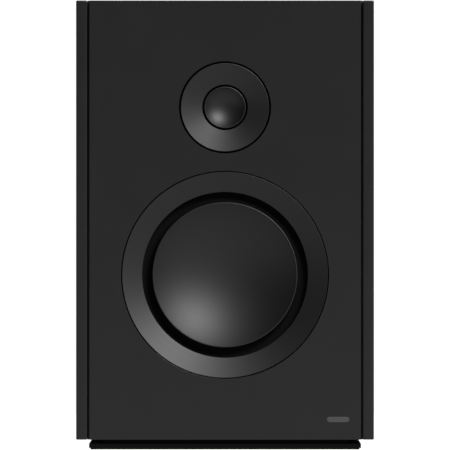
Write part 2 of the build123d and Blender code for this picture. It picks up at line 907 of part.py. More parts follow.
turned(
    "tweeter_voice_coil",
    tweeter_z,
    [
        (tweeter_former_r, tweeter_surround_depth),
        (tweeter_former_r + tweeter_winding, tweeter_surround_depth),
        (tweeter_former_r + tweeter_winding, tweeter_coil_back),
        (tweeter_former_r, tweeter_coil_back),
    ],
)

# A small inverted half roll, glued behind the dome's skirt and on the steel top plate.
seat_ring_front = tweeter_surround_depth + tweeter_surround_thickness
small_roll_outer_r = 15.7
small_roll_inner_r = dome_outer_r + 0.15
small_roll_mid_r = (small_roll_outer_r + small_roll_inner_r) / 2
small_roll_r = (small_roll_outer_r - small_roll_inner_r) / 2
surround_lip_r = tweeter_former_r + tweeter_winding + 0.1

with BuildPart() as tweeter_surround:
    with BuildSketch(section_plane(tweeter_z)):
        with BuildLine():
            Line((surround_lip_r, tweeter_surround_depth), (small_roll_inner_r, tweeter_surround_depth))
            ThreePointArc(
                (small_roll_inner_r, tweeter_surround_depth),
                (small_roll_mid_r, tweeter_surround_depth + small_roll_r),
                (small_roll_outer_r, tweeter_surround_depth),
            )
            Line((small_roll_outer_r, tweeter_surround_depth), (tweeter_surround_r, tweeter_surround_depth))
            Line((tweeter_surround_r, tweeter_surround_depth), (tweeter_surround_r, seat_ring_front))
            Line((tweeter_surround_r, seat_ring_front), (small_roll_outer_r + 0.2, seat_ring_front))
            ThreePointArc(
                (small_roll_outer_r + 0.2, seat_ring_front),
                (small_roll_mid_r, seat_ring_front + small_roll_r),
                (small_roll_inner_r - 0.2, seat_ring_front),
            )
            Line((small_roll_inner_r - 0.2, seat_ring_front), (surround_lip_r, seat_ring_front))
            Line((surround_lip_r, seat_ring_front), (surround_lip_r, tweeter_surround_depth))
        make_face()
    revolve(axis=driver_axis(tweeter_z))
keep(tweeter_surround.part, "tweeter_surround")

tweeter_gap_r = tweeter_former_r + tweeter_winding + tweeter_coil_clearance
tweeter_pole_r = tweeter_former_r - tweeter_coil_clearance
steel_back = tweeter_top_plate_front + tweeter_plate_steel
tweeter_magnet_back = steel_back + tweeter_magnet_thickness
tweeter_back = tweeter_magnet_back + tweeter_plate_steel
tweeter_pole_front = tweeter_top_plate_front + 0.4
seat_ring_r = 16.0

turned(
    "tweeter_top_plate",
    tweeter_z,
    [
        (tweeter_gap_r, tweeter_top_plate_front),
        (seat_ring_r, tweeter_top_plate_front),
        (seat_ring_r, seat_ring_front),
        (tweeter_surround_r + tweeter_seat, seat_ring_front),
        (tweeter_surround_r + tweeter_seat, plate_thickness),
        (tweeter_magnet_r, plate_thickness),
        (tweeter_magnet_r, steel_back),
        (tweeter_gap_r, steel_back),
    ],
)
turned(
    "tweeter_magnet",
    tweeter_z,
    [
        (tweeter_magnet_hole_r, steel_back),
        (tweeter_magnet_r, steel_back),
        (tweeter_magnet_r, tweeter_magnet_back),
        (tweeter_magnet_hole_r, tweeter_magnet_back),
    ],
)
turned(
    "tweeter_back_plate",
    tweeter_z,
    [
        (0, tweeter_pole_front),
        (tweeter_pole_r, tweeter_pole_front),
        (tweeter_pole_r, tweeter_magnet_back),
        (tweeter_magnet_r, tweeter_magnet_back),
        (tweeter_magnet_r, tweeter_back),
        (0, tweeter_back),
    ],
)

lug_pitch = 9.0
lug_width = 2.8
lug_length = 10.0
lug_board_wide = 18.0
lug_board_tall = 9.0

with BuildPart() as tweeter_terminals:
    with BuildSketch(depth_plane(tweeter_back)):
        with Locations((0, tweeter_z)):
            Rectangle(lug_board_wide, lug_board_tall)
    extrude(amount=-strip_thickness)
    with BuildSketch(depth_plane(tweeter_back + strip_thickness)):
        with Locations((0, tweeter_z)):
            with GridLocations(lug_pitch, 0, 2, 1):
                Rectangle(lug_width, lug_length)
    extrude(amount=-tab_thickness)
keep(tweeter_terminals.part, "tweeter_terminals")

# ================================================================ port

neck_r = port_r + port_wall + port_shoulder
flare_mid = port_flare * sqrt(0.5)

with BuildPart() as port_tube:
    with BuildSketch(section_plane(port_z)):
        with BuildLine():
            ThreePointArc(
                (port_r + port_flare, overall_depth),
                (port_r + port_flare - flare_mid, overall_depth - port_flare + flare_mid),
                (port_r, overall_depth - port_flare),
            )
            Polyline(
                (port_r, overall_depth - port_flare),
                (port_r, overall_depth - port_length),
                (port_r + port_wall, overall_depth - port_length),
                (port_r + port_wall, overall_depth - port_neck - port_shoulder),
                (neck_r, overall_depth - port_neck),
                (neck_r, overall_depth - port_flange),
                (port_flange_r, overall_depth - port_flange),
                (port_flange_r, overall_depth - port_edge),
                (port_flange_r - port_edge, overall_depth),
                (port_r + port_flare, overall_depth),
            )
        make_face()
    revolve(axis=driver_axis(port_z))
keep(port_tube.part, "port_tube")

# ================================================================ terminals

cup_floor = overall_depth - cup_depth
cup_back = cup_floor - cup_wall
post_places = {"red": post_spacing / 2, "black": -post_spacing / 2}
cup_screw_x = cup_flange_width - 2 * cup_screw_inset
cup_screw_y = cup_flange_tall - 2 * cup_screw_inset

with BuildPart() as terminal_cup:
    with BuildSketch(depth_plane(overall_depth)):
        with Locations((0, cup_z)):
            RectangleRounded(cup_flange_width, cup_flange_tall, cup_flange_corner)
    extrude(amount=cup_flange)
    with BuildSketch(depth_plane(overall_depth)):
        with Locations((0, cup_z)):
            RectangleRounded(cup_width + 2 * cup_wall, cup_tall + 2 * cup_wall, cup_corner + cup_wall)
    extrude(amount=cup_depth + cup_wall)
    with BuildSketch(depth_plane(overall_depth)):
        with Locations((0, cup_z)):
            RectangleRounded(cup_width, cup_tall, cup_corner)
    extrude(amount=cup_depth, mode=Mode.SUBTRACT)
    with BuildSketch(depth_plane(cup_floor)):
        with Locations((0, cup_z)):
            with GridLocations(post_spacing, 0, 2, 1):
                Circle(insulator_neck_r)
    extrude(amount=cup_wall, mode=Mode.SUBTRACT)
    with BuildSketch(depth_plane(overall_depth)):
        with Locations((0, cup_z)):
            with GridLocations(cup_screw_x, cup_screw_y, 2, 2):
                Circle(cup_screw_r)
    extrude(amount=cup_flange, mode=Mode.SUBTRACT)
    with BuildSketch(depth_plane(overall_depth)):
        with Locations((0, cup_z)):
            with GridLocations(cup_screw_x, cup_screw_y, 2, 2):
                Circle(cup_head_r)
    extrude(amount=cup_head_r - cup_screw_r, taper=45, mode=Mode.SUBTRACT)
keep(terminal_cup.part, "terminal_cup")

with BuildPart() as terminal_screws:
    with BuildSketch(depth_plane(overall_depth)):
        with Locations((0, cup_z)):
            with GridLocations(cup_screw_x, cup_screw_y, 2, 2):
                Circle(cup_screw_r)
    extrude(amount=cup_screw_length)
    with BuildSketch(depth_plane(overall_depth)):
        with Locations((0, cup_z)):
            with GridLocations(cup_screw_x, cup_screw_y, 2, 2):
                Circle(cup_head_r)
    extrude(amount=cup_head_r - cup_screw_r, taper=45)
    with BuildSketch(depth_plane(overall_depth)):
        with Locations((0, cup_z)):
            with GridLocations(cup_screw_x, cup_screw_y, 2, 2):
                Rectangle(cross_long, cross_wide)
                Rectangle(cross_wide, cross_long)
    extrude(amount=cross_deep, mode=Mode.SUBTRACT)
keep(terminal_screws.part, "terminal_screws")

collar_back = cup_floor + insulator_flange
collar_face = collar_back + post_collar
stem_end = collar_face + post_stem
washer_front = collar_face + seat_gap
washer_back = washer_front + clamp_washer
knob_front = washer_back + seat_gap
knob_back = knob_front + knob_length
tag_back = cup_back - inner_washer


def binding_post(colour, x):
    """A brass post: an inner stud, a collar and a stem with a plug bore and a wire hole."""
    with BuildPart() as post:
        with BuildSketch(depth_plane(collar_back)):
            with Locations((x, cup_z)):
                Circle(post_collar_r)
        extrude(amount=-post_collar)
        with BuildSketch(depth_plane(collar_face)):
            with Locations((x, cup_z)):
                Circle(post_stem_r)
        extrude(amount=-post_stem)
        with BuildSketch(depth_plane(collar_back)):
            with Locations((x, cup_z)):
                Circle(post_stud_r)
        extrude(amount=post_stud)
        with BuildSketch(depth_plane(stem_end)):
            with Locations((x, cup_z)):
                Circle(post_bore_r)
        extrude(amount=post_bore, mode=Mode.SUBTRACT)
        wire_plane = Plane(
            origin=(x, front_y + collar_face + wire_hole_from_collar, cup_z), z_dir=(1, 0, 0)
        )
        with BuildSketch(wire_plane):
            Circle(wire_hole_r)
        extrude(amount=post_stem_r + 1, both=True, mode=Mode.SUBTRACT)
    keep(post.part, colour + "_post")


def clamp_ring(colour, x):
    """The plain washer that the knob presses on the bare wire."""
    with BuildPart() as washer:
        with BuildSketch(depth_plane(washer_front)):
            with Locations((x, cup_z)):
                Circle(clamp_washer_r)
                Circle(post_stem_r + screw_fit, mode=Mode.SUBTRACT)
        extrude(amount=-clamp_washer)
    keep(washer.part, colour + "_washer")


def fluted_knob(colour, x):
    """The insulated knob, open at its end so that a plug reaches the post."""
    with BuildPart() as knob:
        with BuildSketch(depth_plane(knob_front)):
            with Locations((x, cup_z)):
                Circle(knob_r)
        extrude(amount=-knob_length)
        chamfer(knob.edges().filter_by(GeomType.CIRCLE), knob_edge)
        with BuildSketch(depth_plane(knob_front + knob_plain_front)):
            with Locations((x, cup_z)):
                with PolarLocations(knob_r + flute_r * 0.5, knob_flutes):
                    Circle(flute_r)
        extrude(amount=-knob_length, mode=Mode.SUBTRACT)
        with BuildSketch(depth_plane(knob_front)):
            with Locations((x, cup_z)):
                Circle(post_stem_r + screw_fit)
        extrude(amount=-knob_length, mode=Mode.SUBTRACT)
    keep(knob.part, colour + "_knob")


for colour, x in post_places.items():
    binding_post(colour, x)
    clamp_ring(colour, x)
    fluted_knob(colour, x)

with BuildPart() as post_insulators:
    with BuildSketch(depth_plane(cup_floor)):
        with Locations((0, cup_z)):
            with GridLocations(post_spacing, 0, 2, 1):
                Circle(insulator_r)
                Circle(post_stud_r, mode=Mode.SUBTRACT)
    extrude(amount=-insulator_flange)
    with BuildSketch(depth_plane(cup_floor)):
        with Locations((0, cup_z)):
            with GridLocations(post_spacing, 0, 2, 1):
                Circle(insulator_neck_r)
                Circle(post_stud_r, mode=Mode.SUBTRACT)
    extrude(amount=cup_wall)
    with BuildSketch(depth_plane(cup_back)):
        with Locations((0, cup_z)):
            with GridLocations(post_spacing, 0, 2, 1):
                Circle(inner_washer_r)
                Circle(post_stud_r, mode=Mode.SUBTRACT)
    extrude(amount=inner_washer)
keep(post_insulators.part, "post_insulators")

with BuildPart() as solder_tags:
    with BuildSketch(depth_plane(tag_back)):
        with Locations((0, cup_z)):
            with GridLocations(post_spacing, 0, 2, 1):
                Circle(post_stud_r + tag_ring)
                with Locations((0, -tag_length / 2)):
                    Rectangle(tag_width, tag_length)
                Circle(post_stud_r, mode=Mode.SUBTRACT)
    extrude(amount=tag)
keep(solder_tags.part, "solder_tags")

with BuildPart() as post_nuts:
    with BuildSketch(depth_plane(tag_back - tag)):
        with Locations((0, cup_z)):
            with GridLocations(post_spacing, 0, 2, 1):
                RegularPolygon(nut_flats / 2, 6, major_radius=False)
                Circle(post_stud_r, mode=Mode.SUBTRACT)
    extrude(amount=nut)
keep(post_nuts.part, "post_nuts")

# ================================================================ crossover

board_z = floor_z + standoff
board_top = board_z + board_thickness
board_x, board_y = board_mid

with BuildPart() as crossover_board:
    with BuildSketch(Plane.XY.offset(board_z)):
        with Locations(board_mid):
            Rectangle(board_width, board_long)
            with GridLocations(board_screw_x, board_screw_y, 2, 2):
                Circle(board_screw_r, mode=Mode.SUBTRACT)
    extrude(amount=board_thickness)
keep(crossover_board.part, "crossover_board")

with BuildPart() as crossover_standoffs:
    with BuildSketch(Plane.XY.offset(floor_z)):
        with Locations(board_mid):
            with GridLocations(board_screw_x, board_screw_y, 2, 2):
                Circle(standoff_r)
                Circle(board_screw_r, mode=Mode.SUBTRACT)
    extrude(amount=standoff)
keep(crossover_standoffs.part, "crossover_standoffs")

with BuildPart() as crossover_screws:
    with BuildSketch(Plane.XY.offset(floor_z - board_screw_in_panel)):
        with Locations(board_mid):
            with GridLocations(board_screw_x, board_screw_y, 2, 2):
                Circle(board_screw_r)
    extrude(amount=board_screw_in_panel + standoff + board_thickness)
    with BuildSketch(Plane.XY.offset(board_top)):
        with Locations(board_mid):
            with GridLocations(board_screw_x, board_screw_y, 2, 2):
                Circle(board_head_r)
    extrude(amount=board_head)
keep(crossover_screws.part, "crossover_screws")

bass_coil_place = (board_x - 31.0, board_y - 13.0)

with BuildPart() as bass_coil:
    with BuildSketch(Plane.XY.offset(board_top)):
        with Locations(bass_coil_place):
            Circle(bass_coil_r)
    extrude(amount=bobbin)
    with BuildSketch(Plane.XY.offset(board_top + bobbin)):
        with Locations(bass_coil_place):
            Circle(bass_coil_r - bass_coil_lip)
    extrude(amount=bass_coil_height - 2 * bobbin)
    with BuildSketch(Plane.XY.offset(board_top + bass_coil_height - bobbin)):
        with Locations(bass_coil_place):
            Circle(bass_coil_r)
    extrude(amount=bobbin)
    with BuildSketch(Plane.XY.offset(board_top)):
        with Locations(bass_coil_place):
            Circle(bass_coil_core_r)
    extrude(amount=bass_coil_height, mode=Mode.SUBTRACT)
keep(bass_coil.part, "bass_coil")

treble_plane = Plane(
    origin=(board_x + 21.0, board_y - 24.0, board_top + treble_coil_r), x_dir=(0, 1, 0), z_dir=(1, 0, 0)
)

with BuildPart() as treble_coil:
    with BuildSketch(treble_plane):
        Circle(treble_coil_r)
        Circle(treble_coil_core_r, mode=Mode.SUBTRACT)
    extrude(amount=bobbin)
    with BuildSketch(treble_plane.offset(bobbin)):
        Circle(treble_coil_r - treble_coil_lip)
        Circle(treble_coil_core_r, mode=Mode.SUBTRACT)
    extrude(amount=treble_coil_length - 2 * bobbin)
    with BuildSketch(treble_plane.offset(treble_coil_length - bobbin)):
        Circle(treble_coil_r)
        Circle(treble_coil_core_r, mode=Mode.SUBTRACT)
    extrude(amount=bobbin)
keep(treble_coil.part, "treble_coil")

capacitor_plane = Plane(
    origin=(board_x + 9.0, board_y + 11.5, board_top + capacitor_r), x_dir=(0, 1, 0), z_dir=(1, 0, 0)
)
capacitor_pitch = 2 * capacitor_r + 3.0

with BuildPart() as capacitors:
    with BuildSketch(capacitor_plane):
        with GridLocations(capacitor_pitch, 0, 2, 1):
            Circle(capacitor_r)
    extrude(amount=capacitor_length)
    chamfer(capacitors.edges().filter_by(GeomType.CIRCLE), capacitor_edge)
keep(capacitors.part, "capacitors")

with BuildPart() as resistors:
    with BuildSketch(Plane.XY.offset(board_top)):
        with Locations((board_x - 38.0, board_y + 25.0)):
            with GridLocations(0, resistor_side + 3.0, 1, 2):
                Rectangle(resistor_long, resistor_side)
    extrude(amount=resistor_side)
keep(resistors.part, "resistors")

# ================================================================ wiring and damping


def wire_radii(points):
    """The largest arc for each corner of a route that both its runs leave room for."""
    radii = []
    for a, b, c in zip(points, points[1:], points[2:]):
        before = Vector(*b) - Vector(*a)
        after = Vector(*c) - Vector(*b)
        turn = radians(before.get_angle(after))
        radii.append(0.45 * min(before.length, after.length) / tan(turn / 2))
    return radii


def wire_pair(name, routes, radius):
    """Round insulated wires along routes of (x, depth, z) points."""
    with BuildPart() as wires:
        for route in routes:
            points = [(x, front_y + depth, z) for x, depth, z in route]
            radii = wire_radii(points)
            print(name, "radii", [round(r, 1) for r in radii])
            with BuildLine() as path:
                FilletPolyline(*points, radius=radii)
            start = Plane(origin=path.line @ 0, z_dir=path.line % 0)
            with BuildSketch(start):
                Circle(radius)
            sweep(path=path.line)
    keep(wires.part, name)


tag_end_z = cup_z - tag_length + 2.0
tag_face = tag_back - tag
input_routes = [
    [
        (x, tag_face, tag_end_z),
        (x, tag_face - 5.0, tag_end_z),
        (x - lean, tag_face - 9.0, tag_end_z - 6.0),
        (x - lean, tag_face - 9.5, board_top + 8.0),
        (x - lean, tag_face - 9.5, board_top),
    ]
    for x, lean in ((post_spacing / 2, 2.0), (-post_spacing / 2, -2.0))
]
wire_pair("input_wires", input_routes, wire_r)

tab_back = seat_back + strip_thickness + tab_thickness
board_front = board_from_front
woofer_routes = [
    [
        (x, board_front + 4.0, board_top),
        (x, board_front + 4.0, board_top + 12.0),
        (x + 12.0, board_front - 4.0, board_top + 30.0 - drop),
        (x + 30.0, board_front - 16.0, board_top + 44.0 - drop),
        (x + 48.0, board_front - 32.0, board_top + 58.0 - drop),
        (end_x + 2.0, board_front - 50.0, end_z - 6.0),
        (end_x, tab_back + 7.0, end_z),
        (end_x, tab_back, end_z),
    ]
    for x, drop, end_x, end_z in (
        (0.0, 0.0, tab_out - 2.5, woofer_z + tab_pitch / 2),
        (8.0, 6.0, tab_out - 2.5, woofer_z - tab_pitch / 2),
    )
]
wire_pair("woofer_wires", woofer_routes, wire_r)

lug_face = tweeter_back + strip_thickness + tab_thickness
lug_rise = tweeter_z - board_top
tweeter_routes = [
    [
        (x, board_front + 14.0, board_top),
        (x, board_front + 14.0, board_top + 18.0),
        (x - 1.0, board_front + 10.0, board_top + 0.26 * lug_rise),
        (x - 3.0, board_front + 6.0, board_top + 0.455 * lug_rise),
        (x - 8.0, board_front - 2.0, board_top + 0.65 * lug_rise),
        (x - 16.0, board_front - 20.0, board_top + 0.81 * lug_rise),
        (end_x + 12.0, board_front - 44.0, board_top + 0.91 * lug_rise),
        (end_x + 2.0, lug_face + 18.0, tweeter_z - 8.0),
        (end_x, lug_face + 6.0, tweeter_z - 3.0),
        (end_x, lug_face, tweeter_z - 3.0),
    ]
    for x, end_x in ((48.0, -lug_pitch / 2), (53.5, lug_pitch / 2))
]
wire_pair("tweeter_wires", tweeter_routes, wire_r)

lead_r = 0.6
lead_clear = 0.32
lead_depth = spider_depth - 8.0
lead_tip_x = sqrt((former_r + former_wall + lead_clear) ** 2 - (tab_pitch / 2) ** 2)
lead_routes = [
    [
        (tab_from + 4.0, seat_back, height),
        (tab_from + 4.0, seat_back - 4.5, height),
        (tab_from - 0.5, lead_depth + 3.5, height),
        (tab_from - 8.0, lead_depth + 1.0, height),
        (tab_from - 17.0, lead_depth - 1.0, height),
        (tab_from - 26.0, lead_depth + 0.5, height),
        (lead_tip_x, lead_depth + 3.5, height),
    ]
    for height in (woofer_z - tab_pitch / 2, woofer_z + tab_pitch / 2)
]
wire_pair("woofer_leads", lead_routes, lead_r)

pad_front = brace_depth + brace + pad_clear
pad_long = overall_depth - rear_board - pad_clear - pad_front
pad_height = inner_height - pad_from_top - pad_from_floor


def damping_pad(side, name):
    """A pad of wadding against one side wall, behind the brace."""
    inner_face = Plane(
        origin=(side * (inner_width / 2 - pad_clear), 0, 0), x_dir=(0, 1, 0), z_dir=(1, 0, 0)
    )
    with BuildPart() as pad:
        with BuildSketch(inner_face):
            with Locations((front_y + pad_front + pad_long / 2, floor_z + pad_from_floor + pad_height / 2)):
                Rectangle(pad_long, pad_height)
        extrude(amount=-side * pad_thickness)
        fillet(pad.edges().filter_by(Axis.X), pad_corner)
    keep(pad.part, name)


damping_pad(-1, "left_damping_pad")
damping_pad(1, "right_damping_pad")

# ================================================================ files

os.makedirs("parts", exist_ok=True)
for shape in export_list:
    export_step(shape, "parts/" + shape.label + ".step")
print(len(export_list), "pieces written")
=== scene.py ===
"""Looks of a passive bookshelf speaker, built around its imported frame.

Front is -Y. A depth is measured from the front face of the cabinet towards +Y, in metres.
"""
import math

import bmesh
import bpy
from mathutils import Matrix, Vector, noise


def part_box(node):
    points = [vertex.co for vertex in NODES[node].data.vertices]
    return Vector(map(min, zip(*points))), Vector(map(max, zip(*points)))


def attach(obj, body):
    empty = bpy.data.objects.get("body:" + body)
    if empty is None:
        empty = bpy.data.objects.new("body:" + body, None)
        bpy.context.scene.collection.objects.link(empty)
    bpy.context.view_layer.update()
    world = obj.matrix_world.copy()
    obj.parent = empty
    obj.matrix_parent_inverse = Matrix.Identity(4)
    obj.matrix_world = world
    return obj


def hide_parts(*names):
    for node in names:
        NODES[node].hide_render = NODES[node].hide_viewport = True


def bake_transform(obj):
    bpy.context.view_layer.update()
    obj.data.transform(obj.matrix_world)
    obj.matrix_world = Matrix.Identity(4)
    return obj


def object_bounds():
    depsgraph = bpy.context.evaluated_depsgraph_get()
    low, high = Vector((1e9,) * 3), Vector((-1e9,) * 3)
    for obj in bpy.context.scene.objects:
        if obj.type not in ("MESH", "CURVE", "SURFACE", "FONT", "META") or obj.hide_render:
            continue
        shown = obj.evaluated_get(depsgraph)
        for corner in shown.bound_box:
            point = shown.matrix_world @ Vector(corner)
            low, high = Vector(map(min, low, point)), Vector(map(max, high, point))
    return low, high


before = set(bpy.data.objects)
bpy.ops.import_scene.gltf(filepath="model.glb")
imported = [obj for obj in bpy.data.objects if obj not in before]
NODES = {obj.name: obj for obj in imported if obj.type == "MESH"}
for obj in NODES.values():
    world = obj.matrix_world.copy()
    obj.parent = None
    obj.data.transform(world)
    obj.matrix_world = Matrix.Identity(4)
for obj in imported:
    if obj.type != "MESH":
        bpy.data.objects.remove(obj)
cad_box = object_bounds()

MM = 0.001
ROUND_STEPS = 192
SHARP_ANGLE = 32.0
FRONT = cad_box[0][1]
TOP = cad_box[1][2]


# ---------------------------------------------------------------- places from the frame
def middle(node):
    """The centre of a node's box."""
    low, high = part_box(node)
    return (Vector(low) + Vector(high)) / 2


def radius_of(node):
    """Half the width of a round node."""
    low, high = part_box(node)
    return (high[0] - low[0]) / 2


def depths(node):
    """The depths of a node's front and back."""
    low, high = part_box(node)
    return low[1] - FRONT, high[1] - FRONT


def section(node, centre):
    """The (radius, depth) of each point of a node that is turned about a driver's axis."""
    points = [vertex.co for vertex in NODES[node].data.vertices]
    return [(math.hypot(p.x - centre.x, p.z - centre.z), p.y - FRONT) for p in points]


def inner_edge(node, centre):
    """The bore radius of a turned node, and how deep its front face starts there."""
    points = section(node, centre)
    bore = min(radius for radius, depth in points)
    return bore, min(depth for radius, depth in points if radius < bore + 0.05 * MM)


# ---------------------------------------------------------------- material makers
NOISE_LOW = 0.3
NOISE_HIGH = 0.7
MARK_PITCH = 0.9 * MM
MARK_RELIEF = 0.002 * MM


def node_tree(name):
    """A new material with one Principled shader: (material, nodes, links, shader)."""
    mat = bpy.data.materials.new(name)
    mat.use_nodes = True
    nodes, links = mat.node_tree.nodes, mat.node_tree.links
    return mat, nodes, links, nodes["Principled BSDF"]


def noise_node(nodes, links, scale, detail=2.0, roughness=0.5):
    """A noise texture on the object's own coordinates."""
    coords = nodes.new("ShaderNodeTexCoord")
    texture = nodes.new("ShaderNodeTexNoise")
    texture.inputs["Scale"].default_value = scale
    texture.inputs["Detail"].default_value = detail
    texture.inputs["Roughness"].default_value = roughness
    links.new(coords.outputs["Object"], texture.inputs["Vector"])
    return texture.outputs["Fac"]


def ranged(nodes, links, value, low, high):
    """Maps a noise value to a range."""
    spread = nodes.new("ShaderNodeMapRange")
    spread.inputs["From Min"].default_value = NOISE_LOW
    spread.inputs["From Max"].default_value = NOISE_HIGH
    spread.inputs["To Min"].default_value = low
    spread.inputs["To Max"].default_value = high
    links.new(value, spread.inputs["Value"])
    return spread.outputs["Result"]


def blend_colours(nodes, links, value, first, second):
    """A colour that runs from first to second with a value."""
    ramp = nodes.new("ShaderNodeValToRGB")
    ramp.color_ramp.elements[0].position = NOISE_LOW
    ramp.color_ramp.elements[0].color = (*first, 1)
    ramp.color_ramp.elements[1].position = NOISE_HIGH
    ramp.color_ramp.elements[1].color = (*second, 1)
    links.new(value, ramp.inputs["Fac"])
    return ramp.outputs["Color"]


def bumped(nodes, links, shader, heights, distance):
    """Drives the shader's normal with a height value."""
    bump = nodes.new("ShaderNodeBump")
    bump.inputs["Strength"].default_value = 1.0
    bump.inputs["Distance"].default_value = distance
    links.new(heights, bump.inputs["Height"])
    links.new(bump.outputs["Normal"], shader.inputs["Normal"])


def drifting_tone(nodes, links, shader, colour, scale, drift):
    """Gives the shader a colour that drifts slowly to both sides of its own tone."""
    darker = [min(channel * (1 - drift), 1.0) for channel in colour]
    lighter = [min(channel * (1 + drift), 1.0) for channel in colour]
    slow = noise_node(nodes, links, scale, 3.0)
    links.new(blend_colours(nodes, links, slow, darker, lighter), shader.inputs["Base Color"])


def coated(
    name, colour, roughness, metallic=0.0, specular=0.5, grain=1400.0, relief=0.004, coat=0.0
):
    """Paint, plastic, rubber or plated metal: fine grain, a slow drift in tone and gloss."""
    mat, nodes, links, shader = node_tree(name)
    shader.inputs["Metallic"].default_value = metallic
    shader.inputs["Specular IOR Level"].default_value = specular
    if coat:
        shader.inputs["Coat Weight"].default_value = coat
        shader.inputs["Coat Roughness"].default_value = 0.2
    drifting_tone(nodes, links, shader, colour, 9.0, 0.06)
    patches = noise_node(nodes, links, 55.0, 4.0, 0.6)
    gloss = ranged(nodes, links, patches, roughness - 0.01, roughness + 0.01)
    links.new(gloss, shader.inputs["Roughness"])
    fine = noise_node(nodes, links, grain, 3.0, 0.6)
    bumped(nodes, links, shader, fine, relief * MM)
    return mat


def turned_metal(name, colour, roughness, centre_z):
    """Lathe-turned metal under black anodising: faint rings about a front-to-back axis."""
    mat, nodes, links, shader = node_tree(name)
    coords = nodes.new("ShaderNodeTexCoord")
    shift = nodes.new("ShaderNodeMapping")
    shift.inputs["Location"].default_value = (0, 0, -centre_z)
    shift.inputs["Scale"].default_value = (1, 0, 1)
    length = nodes.new("ShaderNodeVectorMath")
    length.operation = "LENGTH"
    links.new(coords.outputs["Object"], shift.inputs["Vector"])
    links.new(shift.outputs["Vector"], length.inputs[0])
    along = nodes.new("ShaderNodeCombineXYZ")
    links.new(length.outputs["Value"], along.inputs["X"])
    marks = nodes.new("ShaderNodeTexNoise")
    marks.inputs["Scale"].default_value = 1.0 / MARK_PITCH
    marks.inputs["Detail"].default_value = 2.0
    links.new(along.outputs["Vector"], marks.inputs["Vector"])
    drifting_tone(nodes, links, shader, colour, 14.0, 0.05)
    gloss = ranged(nodes, links, marks.outputs["Fac"], roughness - 0.02, roughness + 0.02)
    links.new(gloss, shader.inputs["Roughness"])
    bumped(nodes, links, shader, marks.outputs["Fac"], MARK_RELIEF)
    return mat


def fibrous(name, dark, light, scale, relief, sheen=0.3):
    """Wadding, cloth or fibreboard: tangled fibres with an uneven tone."""
    mat, nodes, links, shader = node_tree(name)
    shader.inputs["Roughness"].default_value = 0.9
    shader.inputs["Specular IOR Level"].default_value = 0.2
    shader.inputs["Sheen Weight"].default_value = sheen
    fibres = noise_node(nodes, links, scale, 6.0, 0.75)
    links.new(blend_colours(nodes, links, fibres, dark, light), shader.inputs["Base Color"])
    bumped(nodes, links, shader, fibres, relief * MM)
    return mat


def paint_node(node, mat):
    """Gives a CAD node its material."""
    mesh = NODES[node].data
    if not mesh.materials:
        mesh.materials.append(mat)
    for index in range(len(mesh.materials)):
        mesh.materials[index] = mat


# ---------------------------------------------------------------- mesh makers
def apply_modifiers(obj):
    """Replaces an object's mesh with what its modifiers make of it."""
    bpy.context.view_layer.update()
    graph = bpy.context.evaluated_depsgraph_get()
    mesh = bpy.data.meshes.new_from_object(obj.evaluated_get(graph))
    obj.modifiers.clear()
    obj.data = mesh


def smooth_shading(obj, sharp):
    """Shades an object smooth apart from its sharp edges, with its large faces kept flat."""
    obj.data.shade_smooth()
    obj.data.set_sharp_from_angle(angle=math.radians(sharp))
    weighted = obj.modifiers.new("weighted", "WEIGHTED_NORMAL")
    weighted.keep_sharp = True
    apply_modifiers(obj)


def finish_mesh(name, bm, mat, sharp=SHARP_ANGLE):
    """Turns a bmesh into an object that is smooth apart from its sharp edges."""
    bmesh.ops.recalc_face_normals(bm, faces=bm.faces)
    mesh = bpy.data.meshes.new(name)
    bm.to_mesh(mesh)
    bm.free()
    mesh.materials.append(mat)
    obj = bpy.data.objects.new(name, mesh)
    bpy.context.scene.collection.objects.link(obj)
    smooth_shading(obj, sharp)
    return obj


def lathe(name, profile, centre, mat, steps=ROUND_STEPS):
    """A closed solid turned about a front-to-back axis from a closed loop of (radius, depth)."""
    bm = bmesh.new()
    rings = []
    for radius, depth in profile:
        y = FRONT + depth
        if radius < 1e-7:
            rings.append([bm.verts.new((centre[0], y, centre[2]))])
            continue
        ring = []
        for step in range(steps):
            angle = 2 * math.pi * step / steps
            x = centre[0] + radius * math.cos(angle)
            ring.append(bm.verts.new((x, y, centre[2] + radius * math.sin(angle))))
        rings.append(ring)
    for first, second in zip(rings, rings[1:] + rings[:1]):
        if len(first) == 1 and len(second) == 1:
            continue
        for step in range(steps):
            after = (step + 1) % steps
            corners = [first[step % len(first)], first[after % len(first)]]
            corners += [second[after % len(second)], second[step % len(second)]]
            bm.faces.new(list(dict.fromkeys(corners)))
    return finish_mesh(name, bm, mat)


def arc(centre, radius, start, end, steps):
    """Points of an arc in a flat outline, angles in degrees."""
    points = []
    for step in range(steps + 1):
        angle = math.radians(start + (end - start) * step / steps)
        points.append((centre[0] + radius * math.cos(angle), centre[1] + radius * math.sin(angle)))
    return points


def rounded_board(name, node, edge, mat):
    """A board of a node's size, with all its edges rounded."""
    low, high = (Vector(corner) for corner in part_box(node))
    bm = bmesh.new()
    bmesh.ops.create_cube(bm, size=1.0)
    place = Matrix.Translation((high + low) / 2) @ Matrix.Diagonal((*(high - low), 1))
    bmesh.ops.transform(bm, matrix=place, verts=bm.verts)
    bmesh.ops.bevel(bm, geom=bm.edges[:], offset=edge, segments=3, profile=0.5, affect="EDGES")
    return finish_mesh(name, bm, mat, 50.0)


def cut(obj, cutters):
    """Cuts other closed meshes out of an object, and removes them."""
    for cutter in cutters:
        boolean = obj.modifiers.new("cut", "BOOLEAN")
        boolean.operation = "DIFFERENCE"
        boolean.solver = "EXACT"
        boolean.object = cutter
    apply_modifiers(obj)
    for cutter in cutters:
        bpy.data.objects.remove(cutter)
    smooth_shading(obj, SHARP_ANGLE)


# ---------------------------------------------------------------- materials
woofer_middle = middle("woofer_trim_ring")
tweeter_middle = middle("tweeter_faceplate")
port_middle = middle("port_tube")
BLACK = (0.0012, 0.0012, 0.0012)

